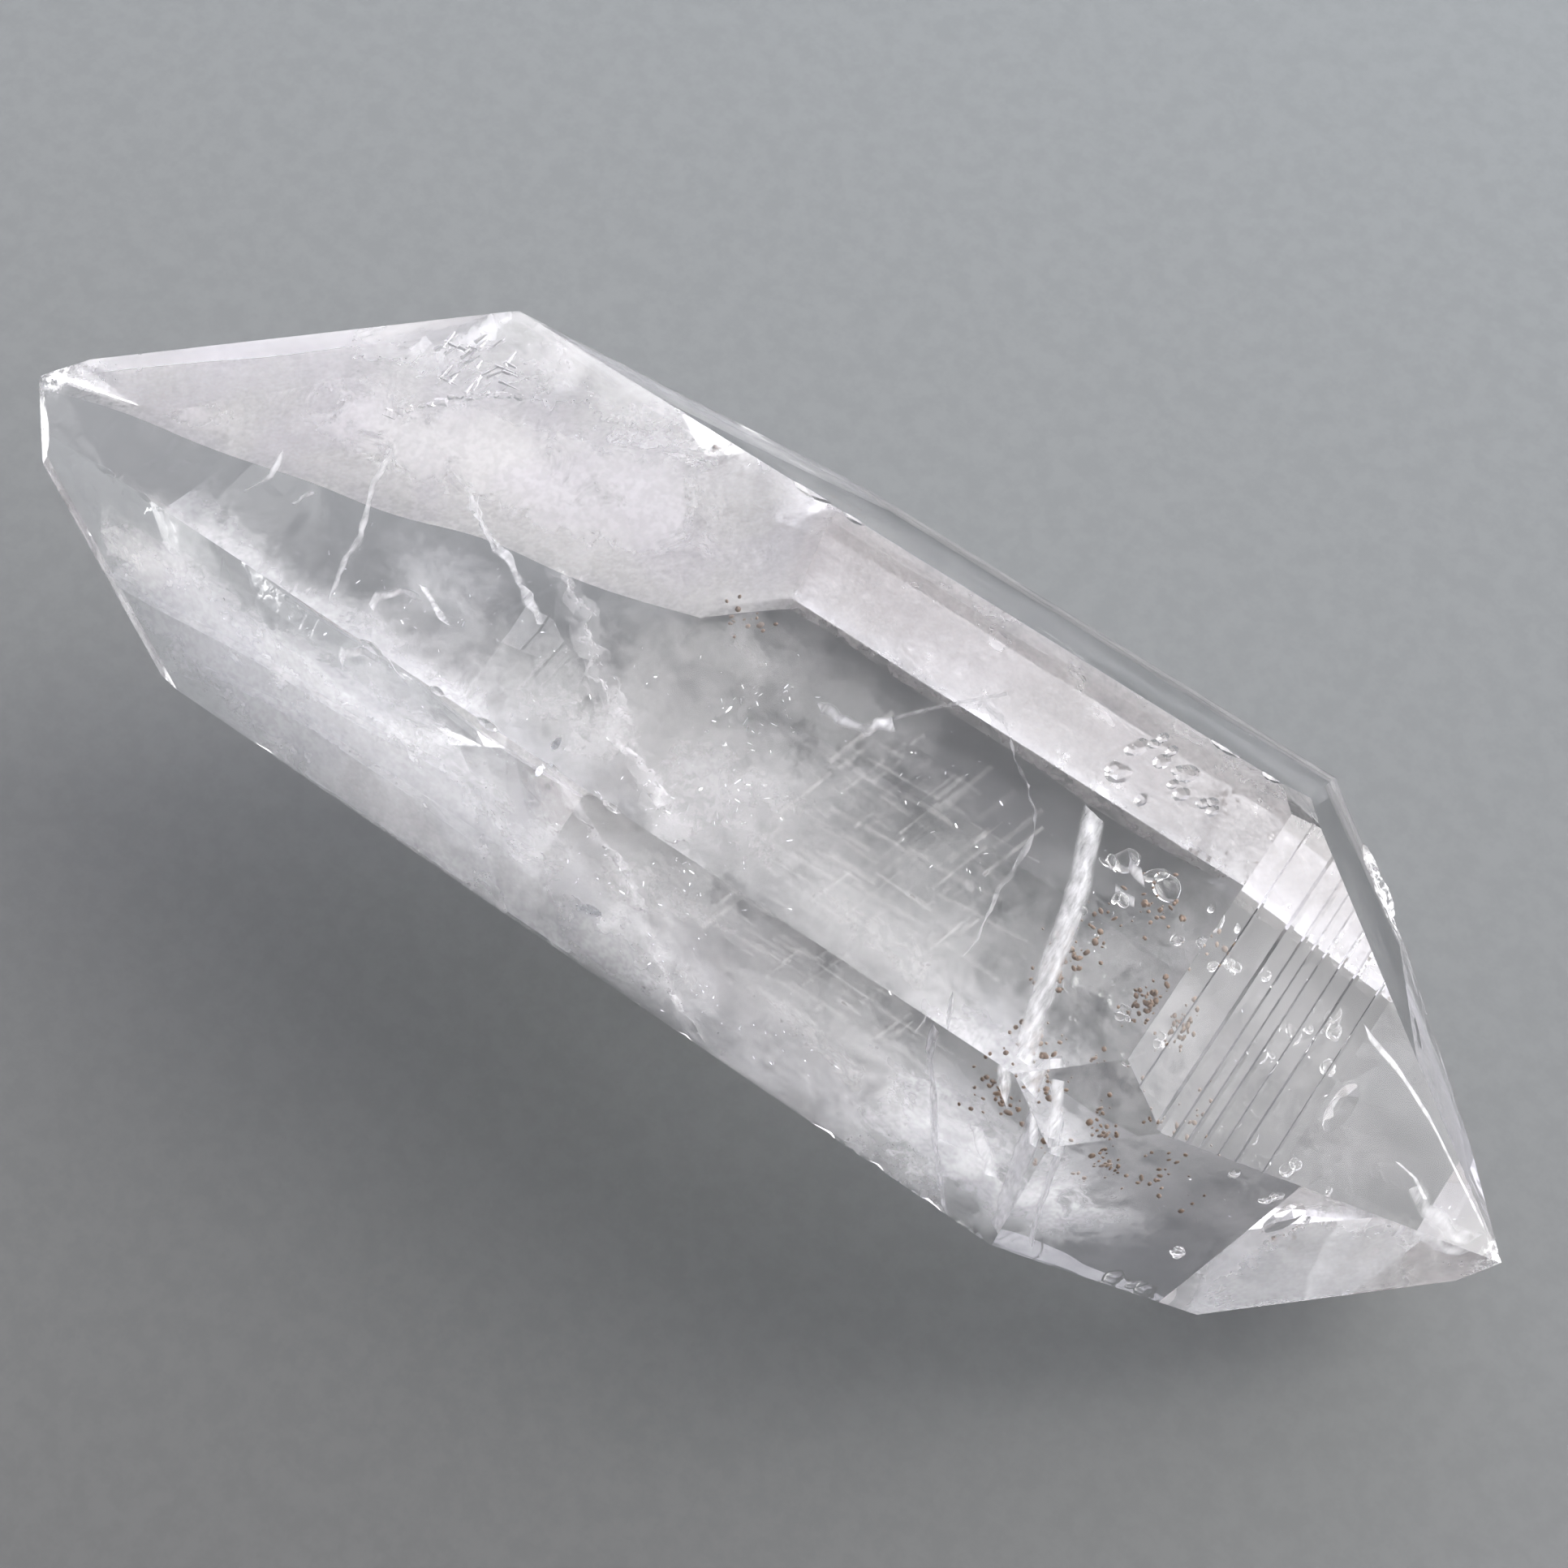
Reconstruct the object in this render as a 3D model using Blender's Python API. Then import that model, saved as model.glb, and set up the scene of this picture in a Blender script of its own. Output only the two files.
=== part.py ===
"""Double-terminated rock crystal (quartz), one piece, lying on a prism face.

The long crystal axis is X and the face it rests on is Z = 0. The origin is at the middle of
the length, on the resting face. The body is a block cleaved by the crystal's faces, each set
by its turn about the axis, its slope to the axis and its distance from the centre. Growth
ledges, a grown-on shard, etch ridges and beads are fused on, and chips, pits and growth
grooves are cut out of it.
"""

import math
import random

import bmesh
import bpy
from mathutils import Matrix, Vector

MM = 0.001

# Quartz angles, in degrees: how far the normal of each kind of face leans from the long axis.
PRISM = 90.0
POINT = 51.79
STEEP = 68.5
CORNER = 65.56

# Size of the crystal, in millimetres.
CENTRE_HEIGHT = 13.05
BLOCK = 140.0
PRISM_REACH = {0: 13.05, 60: 16.12, 120: 12.57, 180: 13.05, 240: 14.60, 300: 14.09}
EAST_REACH = {0: 24.59, 60: 26.45, 120: 30.11, 180: 30.24, 240: 31.02, 300: 25.58}
WEST_REACH = {0: 36.99, 60: 37.82, 120: 29.52, 180: 17.36, 240: 16.33}
EAST_CORNER_REACH = {30: 23.25, 330: 23.35}
EAST_STEEP_REACH = {180: 22.09}
WEST_BEVEL = (75.9, 76.0, 23.75)

# Broken tips: a direction (X, Y, Z) and the distance left along it.
TIP_CHIPS = (
    ((0.85, -0.52, 0.08), 38.50),
    ((0.96, 0.22, 0.18), 42.20),
    ((-0.80, 0.55, 0.24), 33.02),
    ((-0.93, -0.10, -0.36), 38.95),
)

# Growth grooves across the big east face: place along X, width and depth.
GROOVES = (
    (24.35, 0.26, 0.030),
    (26.05, 0.52, 0.060),
    (26.95, 0.34, 0.045),
    (27.60, 0.30, 0.045),
    (28.25, 0.34, 0.050),
    (29.15, 0.28, 0.040),
    (30.05, 0.36, 0.045),
    (31.40, 0.22, 0.030),
)

SHARD_PLACE = (28.9, 13.85, 7.6)
SHARD_SIZE = (3.0, 1.25, 1.2)
SHARD_TOE_PLACE = (27.3, 14.45, 9.2)
SHARD_TOE_SIZE = (2.2, 1.0, 0.9)

# Chipped edges: centre, then the half sizes of the rounded scoop.
SCOOPS = (
    ((-19.3, -11.25, 26.25), (0.95, 0.42, 0.42)),
    ((-15.2, -11.20, 26.25), (0.55, 0.38, 0.38)),
    ((-12.1, -11.25, 26.25), (0.80, 0.45, 0.45)),
    ((-8.0, -11.20, 26.22), (0.50, 0.32, 0.32)),
    ((-4.4, -11.25, 26.25), (0.75, 0.40, 0.40)),
    ((-37.0, -11.20, 26.22), (0.90, 0.32, 0.32)),
    ((-34.2, -11.22, 26.20), (0.60, 0.30, 0.30)),
    ((-14.5, 8.95, 26.25), (0.50, 0.42, 0.42)),
    ((-6.0, 9.15, 26.30), (1.70, 0.75, 0.75)),
    ((-3.6, 9.10, 26.30), (1.00, 0.65, 0.65)),
    ((18.7, 8.95, 26.28), (1.10, 0.50, 0.50)),
    ((21.4, 8.90, 26.25), (0.70, 0.45, 0.45)),
    ((12.3, -17.95, 16.7), (1.90, 1.55, 2.20)),
    ((15.3, -18.05, 16.5), (1.70, 1.70, 2.40)),
    ((18.6, -17.95, 16.7), (1.80, 1.55, 2.20)),
    ((-24.0, -17.45, 16.6), (1.60, 1.00, 1.60)),
    ((3.5, -17.50, 16.6), (1.40, 1.05, 1.50)),
    ((35.3, 9.75, 6.35), (0.95, 0.85, 0.85)),
    ((38.7, 6.70, 6.35), (0.70, 0.65, 0.65)),
    ((29.0, 2.60, 0.05), (1.60, 2.30, 0.80)),
    ((-11.2, 9.20, 0.05), (1.90, 1.60, 0.90)),
)

# The etched patch on the top face: a corner, then its two sides.
ETCH_CORNER = Vector((-28.0, 5.4))
ETCH_ALONG = Vector((3.5, 2.4))
ETCH_DOWN = Vector((2.6, -3.1))

SEAT_SHIFT = -0.33
PITS = 16
RIDGES = 34
BEADS = 15


def mm(*values):
    return Vector(values) * MM


def direction(turn, slope, end=1):
    """The outward normal of a face: turn about the axis from the top, towards -Y."""
    turn, slope = math.radians(turn), math.radians(slope)
    return Vector(
        (
            end * math.cos(slope),
            -math.sin(slope) * math.sin(turn),
            math.sin(slope) * math.cos(turn),
        )
    )


def crystal_faces():
    """Every face of the crystal as its normal and its distance from the centre."""
    faces = [(direction(turn, PRISM), reach) for turn, reach in PRISM_REACH.items()]
    faces += [(direction(turn, POINT), reach) for turn, reach in EAST_REACH.items()]
    faces += [(direction(turn, POINT, -1), reach) for turn, reach in WEST_REACH.items()]
    faces += [(direction(turn, CORNER), reach) for turn, reach in EAST_CORNER_REACH.items()]
    faces += [(direction(turn, STEEP), reach) for turn, reach in EAST_STEEP_REACH.items()]
    turn, slope, reach = WEST_BEVEL
    faces.append((direction(turn, slope, -1), reach))
    faces += [(Vector(normal).normalized(), reach) for normal, reach in TIP_CHIPS]
    return faces


def cleave(bm, centre, faces):
    """Cuts a closed solid by each plane in turn and closes the cut."""
    for normal, reach in faces:
        geometry = bm.verts[:] + bm.edges[:] + bm.faces[:]
        cut = bmesh.ops.bisect_plane(
            bm,
            geom=geometry,
            plane_co=centre + normal * reach * MM,
            plane_no=normal,
            clear_outer=True,
            dist=1e-7,
        )
        rim = [item for item in cut["geom_cut"] if isinstance(item, bmesh.types.BMEdge)]
        if rim:
            bmesh.ops.holes_fill(bm, edges=rim)
    bmesh.ops.remove_doubles(bm, verts=bm.verts, dist=2e-6)
    bmesh.ops.recalc_face_normals(bm, faces=bm.faces)


def new_object(name, bm, collection, cutter=False):
    bmesh.ops.translate(bm, verts=bm.verts, vec=mm(SEAT_SHIFT, 0, 0))
    mesh = bpy.data.meshes.new(name)
    bm.to_mesh(mesh)
    bm.free()
    obj = bpy.data.objects.new(name, mesh)
    collection.objects.link(obj)
    if cutter:
        obj.hide_render = True
        obj.display_type = "WIRE"
    return obj


def new_collection(name):
    collection = bpy.data.collections.new(name)
    bpy.context.scene.collection.children.link(collection)
    return collection


def make_body(collection):
    """The bare crystal: a block cleaved by the crystal's faces."""
    bm = bmesh.new()
    bmesh.ops.create_cube(bm, size=BLOCK * MM)
    centre = mm(0, 0, CENTRE_HEIGHT)
    bmesh.ops.translate(bm, verts=bm.verts, vec=centre)
    cleave(bm, centre, crystal_faces())
    return new_object("quartz_crystal", bm, collection)


def make_scoop(name, place, half_sizes, collection, turn=0.0):
    """A rounded scoop, such as a shell-shaped break leaves."""
    bm = bmesh.new()
    bmesh.ops.create_icosphere(bm, subdivisions=2, radius=1.0)
    bmesh.ops.scale(bm, verts=bm.verts, vec=mm(*half_sizes))
    matrix = Matrix.Translation(mm(*place)) @ Matrix.Rotation(turn, 4, "Z")
    bmesh.ops.transform(bm, matrix=matrix, verts=bm.verts)
    return new_object(name, bm, collection, cutter=True)


def make_groove(index, place, width, depth, collection):
    """A shallow V groove across the big east face, square to the long axis."""
    normal = direction(0, POINT)
    top = mm(0, 0, CENTRE_HEIGHT) + normal * EAST_REACH[0] * MM
    along = Vector((normal.z, 0, -normal.x))
    point = top + along * ((place * MM - top.x) / along.x)
    reach = 30.0 * MM
    bm = bmesh.new()
    bmesh.ops.create_cone(
        bm, cap_ends=True, segments=4, radius1=0.5, radius2=0.5, depth=1.0
    )
    frame = Matrix((along, Vector((0, 1, 0)), normal)).transposed().to_4x4()
    lie_down = Matrix.Rotation(math.pi / 2, 4, "X")
    bmesh.ops.transform(bm, matrix=lie_down, verts=bm.verts)
    bmesh.ops.scale(bm, verts=bm.verts, vec=(width * MM, reach, 2 * depth * MM))
    bmesh.ops.transform(bm, matrix=Matrix.Translation(point) @ frame, verts=bm.verts)
    return new_object(f"groove_{index:02d}", bm, collection, cutter=True)


def make_lump(name, place, sizes, turn, tilt, collection, seed):
    """A small crystal lump: a block with its corners cleaved off at random slants."""
    rng = random.Random(seed)
    bm = bmesh.new()
    bmesh.ops.create_cube(bm, size=MM)
    cuts = []
    for _ in range(9):
        normal = Vector([rng.uniform(-1, 1) for _ in range(3)]).normalized()
        cuts.append((normal, rng.uniform(0.42, 0.58)))
    cleave(bm, Vector(), cuts)
    bmesh.ops.scale(bm, verts=bm.verts, vec=sizes)
    matrix = (
        Matrix.Translation(mm(*place))
        @ Matrix.Rotation(turn, 4, "Z")
        @ Matrix.Rotation(tilt, 4, "Y")
    )
    bmesh.ops.transform(bm, matrix=matrix, verts=bm.verts)
    return new_object(name, bm, collection, cutter=True)


def make_ridge(name, place, length, width, height, turn, collection):
    """A low ridge half sunk in the top face: a bar with a diamond section, sharp at both ends."""
    bm = bmesh.new()
    bmesh.ops.create_cone(
        bm, cap_ends=True, segments=4, radius1=1.0, radius2=0.35, depth=1.0
    )
    bmesh.ops.transform(bm, matrix=Matrix.Rotation(math.pi / 2, 4, "Y"), verts=bm.verts)
    bmesh.ops.scale(bm, verts=bm.verts, vec=mm(length, width / 2, height))
    matrix = Matrix.Translation(mm(*place)) @ Matrix.Rotation(turn, 4, "Z")
    bmesh.ops.transform(bm, matrix=matrix, verts=bm.verts)
    return new_object(name, bm, collection, cutter=True)


def make_growths(collection):
    """What stands proud: the shard on the east side, the etch ridges and the beaded ledge."""
    top = 2 * CENTRE_HEIGHT
    make_lump("shard", SHARD_PLACE, SHARD_SIZE, -0.42, 0.62, collection, 5)
    make_lump("shard_toe", SHARD_TOE_PLACE, SHARD_TOE_SIZE, -0.42, 0.62, collection, 9)
    rng = random.Random(21)
    for index in range(RIDGES):
        across, down = rng.uniform(0.06, 0.94), rng.uniform(0.1, 0.95)
        place = ETCH_CORNER + ETCH_ALONG * across + ETCH_DOWN * down
        turn = math.radians(rng.choice((92, 84, 66, 12)) + rng.uniform(-9, 9))
        make_ridge(
            f"ridge_{index:02d}",
            (place.x, place.y, top - 0.004 * (index % 4)),
            rng.uniform(0.5, 1.3),
            rng.uniform(0.16, 0.34),
            rng.uniform(0.05, 0.10),
            turn,
            collection,
        )
    for index in range(BEADS):
        share = index / (BEADS - 1)
        x = -26.9 + 5.0 * share + rng.uniform(-0.12, 0.12)
        y = -0.1 + 4.1 * share + 0.9 * math.sin(2.6 * share) + rng.uniform(-0.1, 0.1)
        size = rng.uniform(0.22, 0.5)
        make_lump(
            f"bead_{index:02d}",
            (x, y, top - 0.01),
            (size * 1.5, size, 0.24),
            rng.uniform(0.2, 1.2),
            0.0,
            collection,
            100 + index,
        )


def make_cutters(collection):
    """What is missing: chipped edges, pits in the top face and growth grooves."""
    for index, (place, half_sizes) in enumerate(SCOOPS):
        make_scoop(f"scoop_{index:02d}", place, half_sizes, collection, 0.13 * (index % 3 - 1))
    rng = random.Random(8)
    top = 2 * CENTRE_HEIGHT
    for index in range(PITS):
        x = rng.uniform(14.6, 20.2)
        y = rng.uniform(3.6, 7.6)
        size = rng.uniform(0.28, 0.62)
        make_scoop(
            f"pit_{index:02d}",
            (x, y, top + 0.12),
            (size * 1.4, size, 0.22),
            collection,
            rng.uniform(0.6, 1.3),
        )
    for index, (place, width, depth) in enumerate(GROOVES):
        make_groove(index, place, width, depth, collection)


def add_boolean(obj, name, operation, collection):
    modifier = obj.modifiers.new(name, "BOOLEAN")
    modifier.operation = operation
    modifier.operand_type = "COLLECTION"
    modifier.collection = collection
    modifier.solver = "EXACT"


def rock_crystal_material():
    material = bpy.data.materials.new("rock crystal")
    material.use_nodes = True
    shader = material.node_tree.nodes["Principled BSDF"]
    shader.inputs["Base Color"].default_value = (0.93, 0.94, 0.96, 1)
    shader.inputs["Roughness"].default_value = 0.04
    shader.inputs["Metallic"].default_value = 0.0
    shader.inputs["IOR"].default_value = 1.544
    shader.inputs["Transmission Weight"].default_value = 1.0
    return material


def main():
    for obj in list(bpy.data.objects):
        bpy.data.objects.remove(obj, do_unlink=True)
    parts = new_collection("quartz_crystal_part")
    growths = new_collection("growths")
    cutters = new_collection("cutters")
    body = make_body(parts)
    make_growths(growths)
    make_cutters(cutters)
    add_boolean(body, "growths", "UNION", growths)
    add_boolean(body, "chips and grooves", "DIFFERENCE", cutters)
    body.data.materials.append(rock_crystal_material())


main()
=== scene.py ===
import math
import random

import bmesh
import bpy
from mathutils import Matrix, Vector, noise


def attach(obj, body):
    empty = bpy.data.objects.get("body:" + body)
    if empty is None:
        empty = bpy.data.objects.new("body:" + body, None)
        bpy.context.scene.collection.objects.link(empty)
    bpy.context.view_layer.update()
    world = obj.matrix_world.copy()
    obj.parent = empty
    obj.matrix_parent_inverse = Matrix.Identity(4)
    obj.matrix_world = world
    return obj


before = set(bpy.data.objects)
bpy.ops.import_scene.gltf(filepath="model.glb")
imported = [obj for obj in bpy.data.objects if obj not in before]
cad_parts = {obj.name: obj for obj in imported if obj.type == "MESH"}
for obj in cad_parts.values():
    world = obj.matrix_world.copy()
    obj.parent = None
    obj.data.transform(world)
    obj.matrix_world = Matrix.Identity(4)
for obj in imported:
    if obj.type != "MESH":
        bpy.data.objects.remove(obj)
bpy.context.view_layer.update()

MM = 0.001
QUARTZ_IOR = 1.544
NOISE_SEED = 3
FLUID_IOR = 1.36

# Haze sheets, in millimetres: width, mesh size, length of a wave, and clear skin under the faces.
SHEET_WIDTH, SHEET_CELL, WAVE_LENGTH, CLEAR_SKIN = 95.0, 0.8, 9.0, 0.25
# Where the haze is thinner than this, the sheet is left out.
FAINTEST = 0.03

# The camera: place in millimetres, turn in degrees, focal length and sensor width in millimetres.
CAMERA_PLACE = (27.899, -41.853, 143.523)
CAMERA_TURN = (21.006, 0.317, 34.939)
CAMERA_LENS, CAMERA_SENSOR = 58.683, 36.0

# The floor, in metres: half its width, and how far it lies below the crystal.
FLOOR_HALF_WIDTH, FLOOR_GAP = 1.5, 0.00002

# How far light is followed. Total internal reflection needs many turns inside the crystal.
BOUNCES = {
    "max_bounces": 14,
    "diffuse_bounces": 4,
    "transmission_bounces": 14,
    "glossy_bounces": 6,
    "transparent_max_bounces": 22,
}

# The crystal's faces: turn about the long axis, slope to it, end, and distance from the centre.
CENTRE = Vector((-0.33, 0.0, 13.05))
PRISM, POINT, CORNER, STEEP = 90.0, 51.79, 65.56, 68.5
FACES = {
    "top": (0, PRISM, 1, 13.05),
    "front": (60, PRISM, 1, 16.12),
    "front_under": (120, PRISM, 1, 12.57),
    "rest": (180, PRISM, 1, 13.05),
    "back_under": (240, PRISM, 1, 14.60),
    "back": (300, PRISM, 1, 14.09),
    "east_top": (0, POINT, 1, 24.59),
    "east_front": (60, POINT, 1, 26.45),
    "east_front_under": (120, POINT, 1, 30.11),
    "east_rest": (180, POINT, 1, 30.24),
    "east_back_under": (240, POINT, 1, 31.02),
    "east_back": (300, POINT, 1, 25.58),
    "west_top": (0, POINT, -1, 36.99),
    "west_front": (60, POINT, -1, 37.82),
    "west_front_under": (120, POINT, -1, 29.52),
    "west_rest": (180, POINT, -1, 17.36),
    "west_back_under": (240, POINT, -1, 16.33),
    "east_front_corner": (30, CORNER, 1, 23.25),
    "east_back_corner": (330, CORNER, 1, 23.35),
    "east_steep": (180, STEEP, 1, 22.09),
    "west_bevel": (75.9, 76.0, -1, 23.75),
}


def mm(*values):
    return Vector(values) * MM


def face_normal(name):
    """The outward direction of a face."""
    turn, slope = [math.radians(angle) for angle in FACES[name][:2]]
    end = FACES[name][2]
    return Vector(
        (
            end * math.cos(slope),
            -math.sin(slope) * math.sin(turn),
            math.sin(slope) * math.cos(turn),
        )
    )


def below_face(name, depth):
    """The point depth millimetres below the middle of a face."""
    return CENTRE + face_normal(name) * (FACES[name][3] - depth)


# ---------------------------------------------------------------- materials


def new_material(name):
    material = bpy.data.materials.new(name)
    material.use_nodes = True
    tree = material.node_tree
    return material, tree.nodes, tree.links, tree.nodes["Principled BSDF"]


def object_place(nodes, links, centre=(0, 0, 0), stretch=(1, 1, 1)):
    coordinates = nodes.new("ShaderNodeTexCoord")
    mapping = nodes.new("ShaderNodeMapping")
    mapping.inputs["Location"].default_value = centre
    mapping.inputs["Scale"].default_value = stretch
    links.new(coordinates.outputs["Object"], mapping.inputs["Vector"])
    return mapping.outputs["Vector"]


def noise_at(nodes, links, place, scale, detail=4.0, roughness=0.6, distortion=0.0):
    node = nodes.new("ShaderNodeTexNoise")
    node.inputs["Scale"].default_value = scale
    node.inputs["Detail"].default_value = detail
    node.inputs["Roughness"].default_value = roughness
    node.inputs["Distortion"].default_value = distortion
    links.new(place, node.inputs["Vector"])
    return node.outputs["Fac"]


def span(nodes, links, value, low, high, start=0.0, end=1.0, smooth=True):
    node = nodes.new("ShaderNodeMapRange")
    node.interpolation_type = "SMOOTHSTEP" if smooth else "LINEAR"
    node.inputs["From Min"].default_value = low
    node.inputs["From Max"].default_value = high
    node.inputs["To Min"].default_value = start
    node.inputs["To Max"].default_value = end
    links.new(value, node.inputs["Value"])
    return node.outputs["Result"]


def sums(nodes, links, operation, first, second):
    node = nodes.new("ShaderNodeMath")
    node.operation = operation
    for slot, value in zip(node.inputs, (first, second)):
        if isinstance(value, (int, float)):
            slot.default_value = value
        else:
            links.new(value, slot)
    return node.outputs["Value"]


def blend_colours(nodes, links, factor, first, second):
    node = nodes.new("ShaderNodeMix")
    node.data_type = "RGBA"
    node.inputs["A"].default_value = (*first, 1)
    node.inputs["B"].default_value = (*second, 1)
    links.new(factor, node.inputs["Factor"])
    return node.outputs["Result"]


def vector_math(nodes, links, operation, value, other=None):
    """A vector operation on value, and on other where it is a fixed vector or an output."""
    node = nodes.new("ShaderNodeVectorMath")
    node.operation = operation
    links.new(value, node.inputs[0])
    if isinstance(other, bpy.types.NodeSocket):
        links.new(other, node.inputs[1])
    elif other is not None:
        node.inputs[1].default_value = other
    return node


def bump(nodes, links, height, distance):
    node = nodes.new("ShaderNodeBump")
    node.inputs["Distance"].default_value = distance
    links.new(height, node.inputs["Height"])
    return node.outputs["Normal"]


def face_mask(nodes, links, normal, low=0.985, high=0.997):
    coordinates = nodes.new("ShaderNodeTexCoord")
    dot = vector_math(nodes, links, "DOT_PRODUCT", coordinates.outputs["Normal"], normal)
    return span(nodes, links, dot.outputs["Value"], low, high)


# Worn and etched spots: middle and radius in millimetres, and how white they are.
FROSTED_SPOTS = (
    ((28.7, 14.2, 8.2), 3.4, 0.75),
    ((-43.4, -8.3, 25.4), 1.7, 0.6),
    ((44.0, -0.8, 9.5), 1.8, 0.6),
    ((16.0, -17.2, 16.6), 5.0, 0.35),
)


def spot_mask(nodes, links, middle, radius):
    scale = 1.0 / (radius * MM)
    place = object_place(nodes, links, centre=[-v / radius for v in middle], stretch=(scale,) * 3)
    reach = vector_math(nodes, links, "LENGTH", place)
    return span(nodes, links, reach.outputs["Value"], 0.45, 1.0, 1.0, 0.0)


def rock_crystal():
    """Water-clear quartz, with slightly wavy faces, worn spots and frosted growth skin underneath."""
    material, nodes, links, shader = new_material("rock crystal")
    shader.inputs["Base Color"].default_value = (0.985, 0.99, 1.0, 1)
    shader.inputs["IOR"].default_value = QUARTZ_IOR
    place = object_place(nodes, links)
    swell = noise_at(nodes, links, place, 90.0, detail=2.0)
    links.new(bump(nodes, links, swell, 0.00004), shader.inputs["Normal"])
    skin = face_mask(nodes, links, face_normal("back_under"))
    skin = sums(nodes, links, "MAXIMUM", skin, face_mask(nodes, links, face_normal("west_back_under")))
    blotch = span(nodes, links, noise_at(nodes, links, place, 260.0, detail=3.0), 0.42, 0.62, 0.02, 0.22)
    roughness = sums(nodes, links, "MULTIPLY", skin, blotch)
    patches = span(nodes, links, noise_at(nodes, links, place, 2100.0, detail=2.0, roughness=0.7), 0.42, 0.62)
    frost = 0.0
    for middle, radius, white in FROSTED_SPOTS:
        spot = sums(nodes, links, "MULTIPLY", spot_mask(nodes, links, middle, radius), white)
        frost = spot if frost == 0.0 else sums(nodes, links, "MAXIMUM", frost, spot)
    frost = sums(nodes, links, "MULTIPLY", frost, patches)
    roughness = sums(nodes, links, "MAXIMUM", roughness, sums(nodes, links, "MULTIPLY", frost, 0.6))
    links.new(roughness, shader.inputs["Roughness"])
    links.new(sums(nodes, links, "SUBTRACT", 1.0, frost), shader.inputs["Transmission Weight"])
    return material


def milk(
    name,
    colour,
    tint,
    peak,
    cloud=420.0,
    grain=2200.0,
    contrast=0.13,
    thin=0.62,
    seed=0.0,
    stretch=(1, 1, 1),
):
    """White haze of tiny fluid inclusions; the mesh's own milkiness says where it lies."""
    material, nodes, links, shader = new_material(name)
    shader.inputs["Roughness"].default_value = 0.7
    shader.inputs["Specular IOR Level"].default_value = 0.0
    place = object_place(nodes, links, centre=(seed, seed * 0.7, -seed), stretch=stretch)
    drift = noise_at(nodes, links, place, cloud * 0.36, detail=2.0, roughness=0.5, distortion=0.6)
    clouds = noise_at(nodes, links, place, cloud, detail=4.0, roughness=0.7, distortion=0.5)
    fine = noise_at(nodes, links, place, grain, detail=1.0, roughness=0.7)
    tone = blend_colours(nodes, links, span(nodes, links, drift, 0.42, 0.62), colour, tint)
    links.new(tone, shader.inputs["Base Color"])
    milkiness = nodes.new("ShaderNodeAttribute")
    milkiness.attribute_name = "milkiness"
    lift = sums(nodes, links, "MULTIPLY", milkiness.outputs["Fac"], 0.42)
    level = sums(nodes, links, "ADD", clouds, lift)
    cover = span(nodes, links, level, 0.62 - contrast, 0.62 + contrast)
    gaps = span(nodes, links, drift, 0.36, 0.6, 1.0, thin)
    grainy = span(nodes, links, fine, 0.35, 0.65, 0.8, 1.0)
    alpha = sums(nodes, links, "MULTIPLY", cover, grainy)
    alpha = sums(nodes, links, "MULTIPLY", alpha, gaps)
    alpha = sums(nodes, links, "MULTIPLY", alpha, milkiness.outputs["Fac"])
    alpha = sums(nodes, links, "MULTIPLY", alpha, peak)
    links.new(alpha, shader.inputs["Alpha"])
    return material


def white_fracture():
    """A healed crack: bright, finely streaked and partly open."""
    material, nodes, links, shader = new_material("white healed fracture")
    shader.inputs["Base Color"].default_value = (0.98, 0.98, 1.0, 1)
    shader.inputs["Roughness"].default_value = 0.45
    place = object_place(nodes, links, stretch=(1.0, 0.16, 0.2))
    streaks = noise_at(nodes, links, place, 2600.0, detail=4.0, roughness=0.7)
    milkiness = nodes.new("ShaderNodeAttribute")
    milkiness.attribute_name = "milkiness"
    alpha = span(nodes, links, streaks, 0.3, 0.6, 0.5, 1.0)
    alpha = sums(nodes, links, "MULTIPLY", alpha, milkiness.outputs["Fac"])
    links.new(alpha, shader.inputs["Alpha"])
    return material


def glint():
    """The mirror wall of a thin gas film."""
    material, nodes, links, shader = new_material("gas film glint")
    shader.inputs["Base Color"].default_value = (0.97, 0.98, 1.0, 1)
    shader.inputs["Metallic"].default_value = 1.0
    place = object_place(nodes, links)
    frost = noise_at(nodes, links, place, 3000.0, detail=3.0)
    links.new(span(nodes, links, frost, 0.3, 0.7, 0.12, 0.4), shader.inputs["Roughness"])
    return material


def fluid_bubble():
    """A drop of brine closed in by the quartz."""
    material, nodes, links, shader = new_material("fluid bubble")
    shader.inputs["Base Color"].default_value = (0.99, 0.99, 0.98, 1)
    shader.inputs["IOR"].default_value = FLUID_IOR
    shader.inputs["Transmission Weight"].default_value = 1.0
    place = object_place(nodes, links)
    frost = noise_at(nodes, links, place, 2500.0, detail=3.0)
    links.new(span(nodes, links, frost, 0.45, 0.7, 0.0, 0.12), shader.inputs["Roughness"])
    return material


def brown_speck():
    """Rusty mineral grains."""
    material, nodes, links, shader = new_material("brown mineral speck")
    place = object_place(nodes, links)
    grain = noise_at(nodes, links, place, 900.0, detail=2.0)
    tone = blend_colours(nodes, links, grain, (0.075, 0.046, 0.032), (0.34, 0.24, 0.17))
    links.new(tone, shader.inputs["Base Color"])
    shader.inputs["Roughness"].default_value = 0.6
    return material


# The paper: two mottled tones, then a painted light falloff: from its dark end to its bright end a painted
# tint of the light's colour and a painted tone from shade to light.
PAPER_TONES = ((0.120, 0.124, 0.127), (0.129, 0.133, 0.136))
PAINTED_LIGHT_TINTS = ((1.01, 0.985, 0.96), (0.945, 1.0, 1.01))
PAINTED_FALLOFF_DARK, PAINTED_FALLOFF_BRIGHT = 0.74, 1.36
PAINTED_FALLOFF_SLOPE, PAINTED_FALLOFF_HALF = (-0.25, 1.0, 0.0), 0.09


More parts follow.
